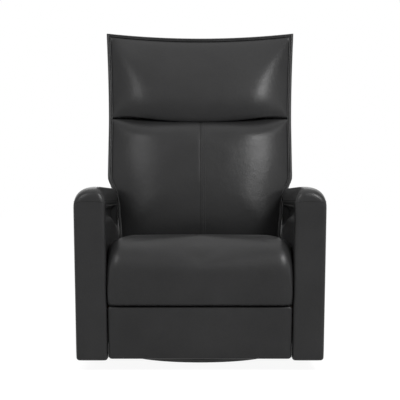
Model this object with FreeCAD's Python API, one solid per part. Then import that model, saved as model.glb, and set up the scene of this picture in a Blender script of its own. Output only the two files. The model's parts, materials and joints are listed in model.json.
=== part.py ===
import FreeCAD, Part
import math
import os

V = FreeCAD.Vector

# Swivel rocker recliner. Sizes are in millimetres. X runs across the chair,
# -Y is the front, +Z is up, and the swivel axis is the Z axis.

# Overall sizes
overall_width = 780.0
overall_depth = 900.0
overall_height = 1145.0

# Room between pieces
run_gap = 0.05        # radial room of a pin in a link that turns on it
slip_gap = 0.3        # between curved or flat faces that slide past each other
cover_gap = 3.0       # between covered pieces that move past each other
panel_gap = 6.0       # dark line between the seat front and the footrest

# Sheet and board thicknesses
plate = 3.0           # mechanism plate
plate_gap = 3.0       # room between neighbouring mechanism plates
board = 25.0          # hardwood frame board
ply = 12.0            # plywood panel
wall = 14.0           # padded cover over a frame
trim_wall = 9.0       # piped rim round the back cushions

# Floor ring and swivel bearing
ring_radius = 250.0
ring_band = 25.0
ring_height = 14.0
ring_edge = 4.0
bar_width = 40.0
bar_height = 16.0
hub_radius = 70.0
race_radius = 105.0
race_plate = 5.0
slip_ring_band = 18.0
slip_ring_height = 4.0
kingpin_radius = 9.0
nut_radius = 15.0
nut_height = 8.0
race_bolt_circle = 44.0
bolt_head_radius = 7.5
bolt_head_height = 4.0

# Rocking platform
channel_width = 124.0
channel_height = 14.0
channel_sheet = 4.0
rail_width = 18.0
rail_height = 24.0
rail_length = 330.0
cam_radius = 260.0
cam_height = 48.0
coil_radius = 17.0
coil_wire = 5.0
coil_turns = 4.5
coil_sides = 10
coil_spread = 72.0    # between the front and rear coil of a pair
coil_inset = 46.0     # coil centre inside the rocker rail
coil_length = 74.0
cup_sheet = 3.0
plate_bolt_pitch = 60.0
stretcher_radius = 9.0

# Arms
arm_width = 98.0
arm_lean = 9.5        # outward lean of an arm over the height of its sides
arm_bottom = 32.0
arm_crest = 565.0
arm_shoulder = 49.0   # height of the rounded top of an arm
arm_crest_in = 32.0   # crest line, measured from the inner face
arm_end = 320.0
arm_slope_start = 140.0
arm_roll_y = 235.0    # where the roll down to the rear gets steeper
arm_roll_drop = 24.0
arm_rear_drop = 87.0
arm_rear_lift = 36.0
arm_edge = 10.0
arm_nose = 45.0       # length over which the top rolls down to the front face
arm_nose_drop = 30.0
recess_depth = 24.0
recess_height = 78.0
recess_post = 52.0    # plain strip of the inner face behind the front

# Seat
seat_rear_roll = 26.0
seat_crown = 412.0
seat_front_drop = 202.0
seat_front_pad = 52.0
seat_roll = 56.0
seat_side_roll = 40.0
seat_side_fall = 37.0
seat_base = 304.0
seat_rail_height = 38.0
seat_rail_width = 28.0
seat_frame_gap = 50.0  # seat frame in front of the back hinge
sinuous_wire = 3.4
sinuous_count = 4
sinuous_bends = 7
sinuous_reach = 24.0
sinuous_chords = 4

# Back, in its own upright frame: t runs rearwards from the piped rim and
# h runs up from seat level
back_lean = 14.0
back_level = 405.0
back_depth = 140.0
shell_edge = 14.0     # rounding of the outer back edges
shell_tail = 46.0     # hem of the outer back below the cushions
back_low = -16.0
back_top_half = 347.0
back_mid_half = 332.0
back_waist_gap = 5.5
back_flare_h = 480.0
back_wing_h = 213.0
back_waist_h = 108.0
back_dip = 20.0
back_crease_h = 416.0
crease_gap = 4.0
chord_room = 1.5      # room for the straight runs of the back cushions inside the curved rim
lumbar_tuck = 30.0    # how far the lumbar cushion reaches down behind the seat
lumbar_bulge = 56.0
lumbar_flank = 105.0  # width of the slopes from the rim to the front of the cushion
lumbar_slope = 120.0
lumbar_under = 60.0
head_bulge = 54.0
head_flank = 85.0
head_slope = 150.0
head_belly = 35.0
head_overhang = 17.0  # how far the headrest hangs over the lumbar cushion
frame_front = 62.0    # front face of the back frame boards
post_width = 36.0
strap_width = 60.0
strap_sheet = 2.0
lumbar_straps = 4
head_straps = 3

# Reclining action
lift_length = 85.0
lift_lean = 20.0
lift_pivot_z = 156.0
lift_front_back = 330.0  # front lift link behind the arm fronts
lift_spacing = 230.0
recline_swing = 28.0
lift_ratio = 1.25
hinge_back = 17.0     # back hinge behind the rim line at seat level
guide_offset_y = 10.0
guide_height = 105.0
guide_radius = 5.0
seat_plate_low = 208.0

# Footrest linkage: two equal parallelograms that share the front link
fold_angle = 112.0    # front link below the forward direction when folded
swing_angle = 87.0
front_link = 185.0
front_link_mid = 145.0
front_pivot_back = 150.0
front_pivot_rise = 28.0
rear_pivot_back = 70.0
rear_pivot_fall = 5.0
bracket_pivot_in = 14.0
bracket_pivot_down = 10.0
link_half = 10.0
pin_radius = 4.0
pin_foot = 7.0
pin_end = 1.0         # stud end beyond the last plate
cross_tube_radius = 9.0
cross_tube_at = 60.0
footrest_low = 40.0
footrest_pad = 46.0
footrest_corner = 14.0

# Release handle, in a recess of the right-hand arm
handle_back = 235.0
handle_z = 282.0
handle_reach = 84.0
handle_thick = 14.0
handle_swing = 25.0
shaft_radius = 6.0
crank_reach = 46.0
recess_room = 10.0
recess_sheet = 3.0
recess_depth_x = 27.0

# Derived places
front_y = -overall_depth / 2
seat_front = front_y + 1.0
lean = math.radians(back_lean)
back_height = (overall_height - back_level) / math.cos(lean)
rear_edge_h = back_height - shell_edge
back_y = overall_depth / 2 - back_depth * math.cos(lean) - rear_edge_h * math.sin(lean)
hinge_y = back_y + hinge_back
seat_frame_rear = hinge_y - seat_frame_gap
seat_rear = back_y - lumbar_bulge - slip_gap
lift_front_y = front_y + lift_front_back
handle_y = front_y + handle_back
arm_side_top = arm_crest - arm_shoulder
cushion_rear = frame_front - strap_sheet - slip_gap


def arm_inner(z):
    """Inner face of an arm at height z."""
    rise = (arm_side_top - z) / (arm_side_top - arm_bottom)
    return overall_width / 2 - arm_width - arm_lean * rise


def arm_outer(z):
    """Outer face of an arm at height z."""
    return arm_inner(z) + arm_width


mech_x = arm_inner(arm_bottom) - cover_gap - 0.5
seat_half = arm_inner(seat_front_drop) - cover_gap
footrest_half = arm_inner(footrest_low) - cover_gap
back_waist_half = arm_inner(back_level) - back_waist_gap
footrest_top = seat_front_drop - panel_gap
footrest_back = seat_front + footrest_pad
board_back = footrest_back + ply

bar_z = ring_height
race_z = bar_z + bar_height
slip_z = race_z + race_plate
top_race_z = slip_z + slip_ring_height + slip_gap
channel_z = top_race_z + race_plate
web_z = channel_z + channel_sheet
rail_z = channel_z + channel_height
rail_top = rail_z + rail_height
cam_low = rail_top + slip_gap
rock_z = cam_low + cam_radius
cam_top = cam_low + cam_height
coil_x = mech_x - rail_width - coil_inset
seat_rail_z = seat_base - seat_rail_height - sinuous_wire


def plane(order):
    """Inner and outer X of a mechanism plate, counted inwards from the arm."""
    outer = mech_x - order * (plate + plate_gap)
    return outer - plate, outer


frame_plane = plane(0)
lift_plane = plane(1)
seat_plane = plane(2)
back_plane = plane(3)
inner_plane = plane(4)
front_plane = plane(5)
outer_plane = plane(6)
rear_plane = plane(7)


def add(p, q):
    return (p[0] + q[0], p[1] + q[1])


def along(p, length, angle):
    """Point at a length from p, at an angle above the forward direction."""
    a = math.radians(angle)
    return (p[0] - length * math.cos(a), p[1] + length * math.sin(a))


# Pivots of the footrest linkage, as (y, z) with the footrest folded
pivot_a = (front_y + front_pivot_back, footrest_top + front_pivot_rise)
spread = (rear_pivot_back, -rear_pivot_fall)
pivot_b = add(pivot_a, spread)
pivot_c = along(pivot_a, front_link_mid, -fold_angle)
pivot_d = along(pivot_a, front_link, -fold_angle)
pivot_e = add(pivot_c, spread)
pivot_f = (board_back + bracket_pivot_in, footrest_top - bracket_pivot_down)
reach = (pivot_f[0] - pivot_c[0], pivot_f[1] - pivot_c[1])
pivot_g = add(pivot_d, reach)
tube_at = along(pivot_a, cross_tube_at, -fold_angle)

# Pivots of the reclining action
lift_rise = lift_length * math.cos(math.radians(lift_lean))
lift_back = lift_length * math.sin(math.radians(lift_lean))
lift_low_front = (lift_front_y, lift_pivot_z)
lift_low_rear = (lift_front_y + lift_spacing, lift_pivot_z)
lift_up_front = add(lift_low_front, (lift_back, lift_rise))
lift_up_rear = add(lift_low_rear, (lift_back, lift_rise))
pivot_h = (hinge_y, lift_pivot_z + lift_rise)
guide_start = add(pivot_h, (guide_offset_y, guide_height))


def guide_at(share):
    """Guide stud at a share of the recline, carried by the lift links and the back hinge."""
    b = math.radians(recline_swing * share)
    a = math.radians(lift_lean - lift_ratio * recline_swing * share)
    shift_y = lift_length * math.sin(a) - lift_back
    shift_z = lift_length * math.cos(a) - lift_rise
    turn_y = guide_offset_y * math.cos(b) + guide_height * math.sin(b)
    turn_z = guide_height * math.cos(b) - guide_offset_y * math.sin(b)
    return (pivot_h[0] + shift_y + turn_y, pivot_h[1] + shift_z + turn_z)


# Shape helpers

def block(x0, x1, y0, y1, z0, z1):
    return Part.makeBox(x1 - x0, y1 - y0, z1 - z0, V(x0, y0, z0))


def in_side(x):
    return lambda p: V(x, p[0], p[1])


def in_front(y):
    return lambda p: V(p[0], y, p[1])


def outline(place, start, *steps):
    """Closed wire: a step of one point is a line, of two points an arc."""
    edges = []
    here = start
    for step in steps + ((start,),):
        there = step[-1]
        if len(step) == 2:
            edges.append(Part.Arc(place(here), place(step[0]), place(there)).toShape())
        elif math.dist(here, there) > 1e-6:
            edges.append(Part.makeLine(place(here), place(there)))
        here = there
    return Part.Wire(edges)


def prism(wire, direction):
    return Part.Face(wire).extrude(direction)


def facet(points):
    return Part.Face(Part.makePolygon(points + points[:1]))


def chords(start, middle, end, count):
    """Steps of an outline along an arc, as straight runs."""
    a, b, c = [V(p[0], 0, p[1]) for p in (start, middle, end)]
    points = Part.Arc(a, b, c).toShape().discretize(count + 1)
    return [((p.x, p.z),) for p in points[1:]]


def bow(half, level, dip, count):
    """Steps across the back from half to -half, dipping in the middle, as straight runs."""
    steps = []
    for i in range(1, count + 1):
        f = 1 - 2 * i / count
        steps.append(((half * f, level - dip * (1 - f * f)),))
    return steps


def rod_x(p, radius, x0, x1):
    return Part.makeCylinder(radius, x1 - x0, V(x0, p[0], p[1]), V(1, 0, 0))


def rod_z(x, y, radius, z0, z1):
    return Part.makeCylinder(radius, z1 - z0, V(x, y, z0), V(0, 0, 1))


def strap(p, q, radius, span, round_ends=False):
    """Flat link between two pivots, filling an X span, with eight-sided or round ends."""
    length = math.dist(p, q)
    ux = (q[0] - p[0]) / length
    uz = (q[1] - p[1]) / length

    def at(base, forward, side):
        return (base[0] + radius * (forward * ux - side * uz),
                base[1] + radius * (forward * uz + side * ux))

    nip = math.sqrt(0.5)
    if round_ends:
        rear = [(at(p, -1, 0), at(p, 0, -1))]
        front = [(at(q, 1, 0), at(q, 0, 1))]
    else:
        rear = [(at(p, -nip, nip),), (at(p, -1, 0),), (at(p, -nip, -nip),), (at(p, 0, -1),)]
        front = [(at(q, nip, -nip),), (at(q, 1, 0),), (at(q, nip, nip),), (at(q, 0, 1),)]
    wire = outline(in_side(span[0]), at(p, 0, 1), *(rear + [(at(q, 0, -1),)] + front))
    return prism(wire, V(span[1] - span[0], 0, 0))


def fused(shapes):
    whole = shapes[0].fuse(shapes[1:]) if len(shapes) > 1 else shapes[0]
    return whole.removeSplitter()


def mirrored(shape):
    return shape.mirror(V(0, 0, 0), V(1, 0, 0))


def pair(*shapes):
    """The shapes of the +X side and their mirror images, as one group."""
    both = []
    for shape in shapes:
        both.append(shape)
        both.append(mirrored(shape))
    return Part.makeCompound(both)


def drilled(shape, points, radius, span):
    for p in points:
        shape = shape.cut(rod_x(p, radius, span[0] - 1, span[1] + 1))
    return shape


def stud(p, base, far, way):
    """Pivot stud set on a plate, running through the plate at far."""
    if way < 0:
        return rod_x(p, pin_radius, far[0] - pin_end, base[0])
    return rod_x(p, pin_radius, base[1], far[1] + pin_end)


def shouldered_stud(p, base, far):
    """Inward stud whose six-sided foot keeps a distant link away from its plate."""
    foot = hex_head(p, far[1] + slip_gap, base[0], pin_foot)
    return [stud(p, base, far, -1), foot]


def hex_head(p, x0, x1, radius):
    corners = []
    for i in range(6):
        a = math.radians(60 * i)
        corners.append(V(x0, p[0] + radius * math.cos(a), p[1] + radius * math.sin(a)))
    return facet(corners).extrude(V(x1 - x0, 0, 0))


# Floor ring, cross and swivel bearing

def base_ring():
    inner = ring_radius - ring_band
    profile = [(inner, 0), (ring_radius, 0), (ring_radius, ring_height - ring_edge),
               (ring_radius - ring_edge, ring_height), (inner, ring_height)]
    wire = outline(in_front(0), profile[0], *[(p,) for p in profile[1:]])
    return Part.Face(wire).revolve(V(0, 0, 0), V(0, 0, 1), 360)


def base_cross():
    half = ring_radius - ring_edge
    reach_in = math.sqrt(half ** 2 - (bar_width / 2) ** 2)
    bars = [block(-reach_in, reach_in, -bar_width / 2, bar_width / 2, bar_z, race_z),
            block(-bar_width / 2, bar_width / 2, -reach_in, reach_in, bar_z, race_z)]
    hub = rod_z(0, 0, hub_radius, bar_z, race_z)
    return fused(bars + [hub]).cut(rod_z(0, 0, kingpin_radius, bar_z - 1, race_z + 1))


def bearing_lower():
    disc = rod_z(0, 0, race_radius, race_z, slip_z)
    return disc.cut(rod_z(0, 0, kingpin_radius, race_z - 1, slip_z + 1))


def slip_ring():
    ring = rod_z(0, 0, race_radius, slip_z, slip_z + slip_ring_height)
    hole = race_radius - slip_ring_band
    return ring.cut(rod_z(0, 0, hole, slip_z - 1, slip_z + slip_ring_height + 1))


def hex_nut(radius, z0, z1):
    corners = []
    for i in range(6):
        a = math.radians(60 * i)
        corners.append(V(radius * math.cos(a), radius * math.sin(a), z0))
    return facet(corners).extrude(V(0, 0, z1 - z0))


def kingpin():
    top = web_z + slip_gap
    pin = rod_z(0, 0, kingpin_radius, bar_z, top)
    return fused([pin, hex_nut(nut_radius, top, top + nut_height)])


# Swivel platform

def bearing_upper():
    disc = rod_z(0, 0, race_radius, top_race_z, channel_z)
    return disc.cut(rod_z(0, 0, kingpin_radius + run_gap, top_race_z - 1, channel_z + 1))


def platform_channel():
    half = channel_width / 2
    web = block(-mech_x, mech_x, -half, half, channel_z, web_z)
    lips = []
    for side in (-half, half - channel_sheet):
        lips.append(block(-mech_x, mech_x, side, side + channel_sheet, channel_z, rail_z))
    heads = []
    for i in range(4):
        a = math.radians(45 + 90 * i)
        head = hex_nut(bolt_head_radius, web_z, web_z + bolt_head_height)
        head.translate(V(race_bolt_circle * math.cos(a), race_bolt_circle * math.sin(a), 0))
        heads.append(head)
    whole = fused([web] + lips + heads)
    return whole.cut(rod_z(0, 0, kingpin_radius + run_gap, channel_z - 1, web_z + 1))


def rocker_rails():
    half = rail_length / 2
    x0 = mech_x - rail_width
    profile = outline(in_side(x0), (-half, rail_z), ((half, rail_z),),
                      ((half, rail_top - rail_height / 2),), ((half - rail_height, rail_top),),
                      ((rail_height - half, rail_top),), ((-half, rail_top - rail_height / 2),))
    return pair(prism(profile, V(rail_width, 0, 0)))


def coil_places():
    return [(coil_x, -coil_spread / 2), (coil_x, coil_spread / 2)]


coil_low = web_z + cup_sheet
coil_high = coil_low + coil_length


def spring_cups():
    """Square pads under the coils."""
    half = coil_radius + coil_wire
    return pair(*[block(x - half, x + half, y - half, y + half, web_z, coil_low)
                  for x, y in coil_places()])


def coil(x, y):
    """Round spring of square wire, closed by flat facets."""
    rise = coil_length - coil_wire
    steps = int(round(coil_turns * coil_sides))
    h = coil_wire / 2
    rings = []
    for i in range(steps + 1):
        a = 2 * math.pi * i / coil_sides
        z = coil_low + rise * i / steps
        ring = []
        for r, dz in ((-h, 0), (h, 0), (h, coil_wire), (-h, coil_wire)):
            ring.append(V(x + (coil_radius + r) * math.cos(a),
                          y + (coil_radius + r) * math.sin(a), z + dz))
        rings.append(ring)
    faces = [facet(rings[0]), facet(rings[-1])]
    for near, far in zip(rings, rings[1:]):
        for k in range(4):
            faces.append(facet([near[k], near[k - 1], far[k - 1]]))
            faces.append(facet([near[k], far[k - 1], far[k]]))
    return Part.makeSolid(Part.makeShell(faces))


def coil_gap():
    """Least room between the turns of a coil, measured on points of its wire."""
    steps = int(round(coil_turns * coil_sides))
    pitch = (coil_length - coil_wire) / steps
    points = [V(coil_radius * math.cos(2 * math.pi * i / coil_sides),
                coil_radius * math.sin(2 * math.pi * i / coil_sides), pitch * i)
              for i in range(steps + 1)]
    apart = coil_sides // 2
    return min(points[i].distanceToPoint(points[j]) for i in range(steps + 1)
               for j in range(i + apart, steps + 1)) - coil_wire


def rocker_springs():
    print("least gap between coil turns: %.1f mm" % coil_gap())
    return pair(*[coil(x, y) for x, y in coil_places()])


# Rocking chair frame

def rocker_cams():
    half = math.sqrt(cam_radius ** 2 - (cam_radius - cam_height) ** 2)
    x0 = mech_x - rail_width
    wire = outline(in_side(x0), (-half, cam_top), ((0, cam_low), (half, cam_top)))
    return pair(prism(wire, V(rail_width - plate, 0, 0)))


def spring_brackets():
    """Upper seats of the coils, hung from the cams."""
    half = coil_spread / 2 + coil_radius + coil_wire
    x0 = coil_x - coil_radius - coil_wire
    x1 = mech_x - rail_width
    shelf = block(x0, x1, -half, half, coil_high, coil_high + cup_sheet)
    lip = block(x1 - cup_sheet, x1, -half, half, cam_low + cam_height / 2, coil_high)
    return pair(fused([shelf, lip]))


def frame_plates():
    span = frame_plane
    low = cam_low + cam_height / 3
    half = lift_spacing / 2 + 3 * link_half
    main = block(span[0], span[1], -half, half, low, lift_pivot_z + 1.5 * link_half)
    ear_half = guide_radius + plate_gap * 3
    front_ear = strap((-half + 2 * link_half, low + 2 * link_half), (handle_y, handle_z),
                      1.6 * link_half, span)
    rear_ear = strap((lift_low_rear[0] + link_half, low + 2 * link_half), guide_start,
                     ear_half, span)
    studs = [stud(p, span, lift_plane, -1) for p in (lift_low_front, lift_low_rear)]
    heads = [hex_head(p, span[0] - bolt_head_height, span[0], bolt_head_radius)
             for p in plate_bolt_points()]
    whole = fused([main, front_ear, rear_ear] + studs + heads)
    whole = drilled(whole, [(handle_y, handle_z)], shaft_radius + run_gap, span)
    return pair(whole.cut(guide_slot((span[0] - 1, span[1] + 1))))


def guide_slot(span):
    """Slot that the guide stud runs along, from its highest place."""
    places = [guide_at(i / 20) for i in range(21)]
    high = max(places, key=lambda p: p[1])
    return strap(high, places[-1], guide_radius + 2 * slip_gap, span, True)


def plate_bolt_points():
    """Bolts that fix a frame plate to the arm rail."""
    z = lift_pivot_z - link_half
    return [(-plate_bolt_pitch, z), (0, z), (plate_bolt_pitch, z)]


def frame_stretchers():
    """Tubes that tie the two frame plates together behind each lift link."""
    tubes = []
    for p in (lift_low_front, lift_low_rear):
        at = add(p, (2.8 * link_half, -0.9 * link_half))
        tubes.append(rod_x(at, stretcher_radius, -frame_plane[0], frame_plane[0]))
    return Part.makeCompound(tubes)


def frame_rail_span():
    """Y and Z extent of the arm rail that carries the frame plates."""
    return (front_y + 3 * wall, arm_end - wall - board, cam_low, lift_pivot_z + 4 * link_half)


def arm_cavity():
    y0, y1 = front_y + wall, arm_end - wall
    z0 = arm_bottom + arm_rear_lift + wall
    z1 = arm_side_top - arm_rear_drop + recess_depth
    wire = outline(in_front(y0), (arm_inner(z0) + wall, z0), ((arm_outer(z0) - wall, z0),),
                   ((arm_outer(z1) - wall, z1),), ((arm_inner(z1) + wall + recess_depth, z1),),
                   ((arm_inner(z1 - recess_height) + wall, z1 - recess_height),))
    return prism(wire, V(0, y1 - y0, 0))


def arm_section(y, inset, crest, low):
    """Cross-section of an arm: leaning sides and a crest near the inner edge."""
    side = crest - arm_shoulder
    edge = arm_edge
    inner, outer = arm_inner(side) + inset, arm_outer(side) - inset
    foot_in, foot_out = arm_inner(low) + inset, arm_outer(low) - inset
    base = low + inset
    nip = edge * (1 - math.sqrt(0.5))
    crest_x = inner + arm_crest_in
    top = crest - inset
    return outline(
        in_front(y), (foot_in + edge, base), ((foot_out - edge, base),),
        ((foot_out - nip, base + nip),), ((foot_out, base + edge),), ((outer, side),),
        ((outer - (outer - crest_x) / 3.2, side + (top - side) * 0.76), (crest_x, top)),
        ((inner + arm_crest_in * 0.28, side + (top - side) * 0.72), (inner, side + edge / 2)),
        ((foot_in, base + edge),), ((foot_in + nip, base + nip),))


def arm_body():
    rear_crest = arm_crest - arm_rear_drop
    rear_low = arm_bottom + arm_rear_lift
    stations = [
        (front_y, 8.0, arm_crest - arm_nose_drop, arm_bottom),
        (front_y + arm_nose * 0.14, 2.5, arm_crest - arm_nose_drop * 0.55, arm_bottom),
        (front_y + arm_nose * 0.4, 0.0, arm_crest - arm_nose_drop * 0.24, arm_bottom),
        (front_y + arm_nose, 0.0, arm_crest, arm_bottom),
        (arm_slope_start, 0.0, arm_crest, arm_bottom),
        (arm_roll_y, 0.0, arm_crest - arm_roll_drop, rear_low),
        (arm_end - wall, 0.0, rear_crest, rear_low),
        (arm_end, 8.0, rear_crest, rear_low)]
    return Part.makeLoft([arm_section(*s) for s in stations], True, True)


def arm_recess():
    """Shadowed tuck under the inner edge of the arm top."""
    z1 = arm_side_top
    z0 = z1 - recess_height
    slope = (arm_rear_drop - arm_roll_drop) / (arm_end - wall - arm_roll_y)
    line = [(front_y + recess_post, 0.0), (arm_slope_start, 0.0), (arm_roll_y, arm_roll_drop),
            (arm_end + 1, arm_rear_drop + slope * (wall + 1))]

    def cut_at(y, fall):
        return outline(in_front(y), (arm_inner(z0) - 1, z0 - fall),
                       ((arm_inner(z1) + recess_depth, z1 - arm_edge - fall),),
                       ((arm_inner(z1) - 1, z1 - fall),))

    return [Part.makeLoft([cut_at(*a), cut_at(*b)], True, True) for a, b in zip(line, line[1:])]


def arm_cover():
    cover = arm_body()
    for tool in arm_recess():
        cover = cover.cut(tool)
    y0, y1, z0, z1 = frame_rail_span()
    slot = block(mech_x - 1, arm_inner(z1) + wall + 1, y0 - slip_gap, y1 + slip_gap,
                 z0 - slip_gap, z1 + slip_gap)
    return cover.cut(arm_cavity()).cut(slot)


def arm_boards():
    """Hardwood frame inside an arm, with the rail that carries the mechanism."""
    y0, y1 = front_y + wall, arm_end - wall
    z0 = arm_bottom + arm_rear_lift + wall
    z1 = arm_side_top - arm_rear_drop + recess_depth
    xa = arm_inner(z1) + wall + recess_depth + slip_gap
    xb = arm_outer(z0) - wall - slip_gap
    rail_y0, rail_y1, rail_z0, rail_z1 = frame_rail_span()
    front = block(xa, xb, y0, y0 + board, z0, z1)
    rear = block(xa, xb, y1 - board, y1, z0, z1)
    top = block(xa, xb, y0 + board, y1 - board, z1 - board, z1)
    foot = block(xa, xb, y0 + board, y1 - board, z0, z0 + board)
    carrier = block(mech_x, xa, rail_y0, rail_y1, rail_z0, rail_z1)
    cleat_y = (rail_y0 + rail_y1) / 2
    cleat = block(xa, xa + board, cleat_y - 2 * board, cleat_y + 2 * board,
                  z0 + board, rail_z1)
    return [front, rear, top, foot, carrier, cleat]


def handle_window():
    """Recess for the release handle: y0, y1, z0, z1."""
    tip = handle_reach * math.sin(math.radians(handle_swing))
    hub = 1.2 * handle_thick
    return (handle_y - handle_reach - recess_room, handle_y + hub + recess_room,
            handle_z - hub - 2 * recess_room, handle_z + tip + hub + recess_room)


def recess_faces():
    outer = arm_outer(arm_side_top) - 1.0
    return outer - recess_depth_x, outer


def release_recess():
    y0, y1, z0, z1 = handle_window()
    back_x, face_x = recess_faces()
    s = recess_sheet
    tray = block(back_x, face_x, y0, y1, z0, z1)
    hollow = block(back_x + s, face_x + 1, y0 + s, y1 - s, z0 + s, z1 - s)
    hole = rod_x((handle_y, handle_z), shaft_radius + slip_gap, back_x - 1, face_x)
    return mirrored(tray.cut(hollow).cut(hole))


def arm_right_cover():
    y0, y1, z0, z1 = handle_window()
    back_x, face_x = recess_faces()
    cover = arm_cover()
    cover = cover.cut(block(back_x, face_x + 20, y0, y1, z0, z1))
    hole = rod_x((handle_y, handle_z), shaft_radius + cover_gap, mech_x, mech_x + 4 * wall)
    return mirrored(cover.cut(hole))


def rear_panel():
    """Covered board that closes the chair behind the action."""
    y1 = arm_end - wall
    z0, z1 = arm_bottom + arm_rear_lift, seat_base - slip_gap
    edge = slip_gap
    wire = outline(in_front(y1 - board), (edge - arm_inner(z0), z0),
                   ((arm_inner(z0) - edge, z0),), ((arm_inner(z1) - edge, z1),),
                   ((edge - arm_inner(z1), z1),))
    return prism(wire, V(0, board, 0))


# Release handle

def release_handle():
    back_x, face_x = recess_faces()
    hub_at = (handle_y, handle_z)
    tip_at = (handle_y - handle_reach + handle_thick, handle_z)
    x1 = face_x - recess_sheet / 2
    paddle = strap(hub_at, tip_at, handle_thick / 2, (x1 - handle_thick, x1), True)
    hub = rod_x(hub_at, handle_thick, x1 - handle_thick, x1)
    shaft = rod_x(hub_at, shaft_radius, lift_plane[0], x1)
    return mirrored(fused([paddle, hub, shaft]))


def release_crank():
    hub_at = (handle_y, handle_z)
    low = add(hub_at, (0, -crank_reach))
    arm = strap(hub_at, low, 1.1 * link_half, lift_plane)
    return mirrored(drilled(arm, [hub_at], shaft_radius, lift_plane))


# Lift links

def lift_links(low, up):
    link = strap(low, up, 1.2 * link_half, lift_plane)
    return pair(drilled(link, [low, up], pin_radius + run_gap, lift_plane))


# Seat

def seat_plates():
    span = seat_plane
    low = seat_plate_low
    nose = pivot_a[0] - 1.4 * link_half
    tail = pivot_h[0] + 1.4 * link_half
    top = seat_rail_z
    step = link_half
    wire = outline(
        in_side(span[0]), (nose, pivot_a[1] - step), ((nose + step, low),),
        ((lift_up_front[0] - 2 * step, low),), ((lift_up_front[0], low + step),),
        ((tail - step, low + step),), ((tail, pivot_h[1]),), ((tail - step, top),),
        ((nose + 3 * step, top),), ((nose, pivot_a[1] + step),))
    sheet = prism(wire, V(plate, 0, 0))
    flange = block(span[0] - seat_rail_width / 2, span[0], nose + 3 * step, seat_frame_rear,
                   top - plate, top)
    studs = [stud(p, span, lift_plane, 1) for p in (lift_up_front, lift_up_rear)]
    studs.append(stud(pivot_h, span, back_plane, -1))
    studs += shouldered_stud(pivot_a, span, front_plane)
    studs += shouldered_stud(pivot_b, span, rear_plane)
    return pair(fused([sheet, flange] + studs))


def seat_rail_half():
    return seat_plane[1]


def seat_frame():
    half = seat_rail_half()
    z0, z1 = seat_rail_z, seat_rail_z + seat_rail_height
    front1 = seat_front + seat_front_pad + board
    front = block(-half, half, front1 - board, front1, seat_plate_low, z1)
    rear = block(-half, half, seat_frame_rear - board, seat_frame_rear, z0, z1)
    side = block(half - seat_rail_width, half, front1, seat_frame_rear - board, z0, z1)
    return Part.makeCompound([front, rear, side, mirrored(side)])


def sinuous(x):
    """Flat zigzag spring from the front rail to the rear rail, of square wire."""
    z0 = seat_rail_z + seat_rail_height
    y0 = seat_front + seat_front_pad + board / 2
    y1 = seat_frame_rear - board / 2
    step = (y1 - y0) / sinuous_bends
    h = sinuous_wire / 2
    sections = []

    def section(px, py, angle):
        """Cut across the wire where it runs at an angle to the X axis."""
        c, s = math.cos(angle), math.sin(angle)
        ring = []
        for side, dz in ((-h, 0), (h, 0), (h, sinuous_wire), (-h, sinuous_wire)):
            ring.append(V(px - side * s, py + side * c, z0 + dz))
        sections.append(Part.makePolygon(ring + ring[:1]))

    section(x - sinuous_reach, y0, 0)
    way = 1
    for i in range(sinuous_bends):
        middle = y0 + (i + 0.5) * step
        for k in range(sinuous_chords + 1):
            a = math.pi * k / sinuous_chords
            px = x + way * (sinuous_reach + step / 2 * math.sin(a))
            py = middle - step / 2 * math.cos(a)
            section(px, py, a if way > 0 else math.pi - a)
        way = -way
    section(x + way * sinuous_reach, y1, 0 if way > 0 else math.pi)
    return Part.makeLoft(sections, True, True)


def seat_springs():
    room = seat_rail_half() - seat_rail_width
    pitch = 2 * room / sinuous_count
    return Part.makeCompound([sinuous(-room + pitch * (i + 0.5)) for i in range(sinuous_count)])


def seat_section(x, fall, back_off):
    """Side profile of the seat cushion at one place across it."""
    top = seat_crown - fall
    face = seat_front + back_off
    inside = seat_front + seat_front_pad
    foot = seat_front_drop
    roll = seat_roll
    lip = footrest_corner
    turn = math.sqrt(0.5)
    rear_top = top - 8.0
    tuck = seat_rear_roll
    return outline(
        in_side(x), (seat_rear, seat_base), ((inside, seat_base),), ((inside, foot),),
        ((face + lip, foot),),
        ((face + lip * (1 - turn), foot + lip * (1 - turn)), (face, foot + lip)),
        ((face - back_off / 3, top - roll),),
        ((face + roll * (1 - turn), top - roll * (1 - turn)), (face + roll, top)),
        ((seat_rear - tuck, rear_top),),
        ((seat_rear - tuck * (1 - turn), rear_top - tuck * (1 - turn)),
         (seat_rear, rear_top - tuck)))


def seat_cushion():
    roll = seat_side_roll
    edges = [(seat_half - roll, 2.0, 0.5), (seat_half - roll * 0.45, 9.0, 3.0),
             (seat_half - roll * 0.14, 21.0, 7.0), (seat_half, seat_side_fall, 14.0)]
    left = [(-x, fall, off) for x, fall, off in reversed(edges)]
    middle = [(0.0, 0.0, 0.0)]
    return Part.makeLoft([seat_section(*s) for s in left + middle + edges], True, True)


# Back

def back_point(t, h):
    """World (y, z) of a point of the back."""
    return (back_y + h * math.sin(lean) + t * math.cos(lean),
            back_level + h * math.cos(lean) - t * math.sin(lean))


def lean_back(shape):
    shape.rotate(V(0, 0, 0), V(1, 0, 0), -back_lean)
    shape.translate(V(0, back_y, back_level))
    return shape


def mirrored_steps(start, steps):
    """Right-hand steps of an outline, followed by their mirror image."""
    points = [start]
    kinds = []
    for step in steps:
        if len(step) == 2:
            kinds.append(step[0])
        else:
            kinds.append(None)
        points.append(step[-1])
    back = []
    for i in range(len(steps) - 1, -1, -1):
        end = (-points[i][0], points[i][1])
        if kinds[i] is None:
            back.append((end,))
        else:
            back.append(((-kinds[i][0], kinds[i][1]), end))
    return back


def top_edge_h(inset):
    return back_height - inset


def back_half(h):
    """Half-width of the back at height h, above the wings."""
    share = max(0.0, (h - back_flare_h) / (back_height - back_flare_h))
    return back_mid_half + (back_top_half - back_mid_half) * share


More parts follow.
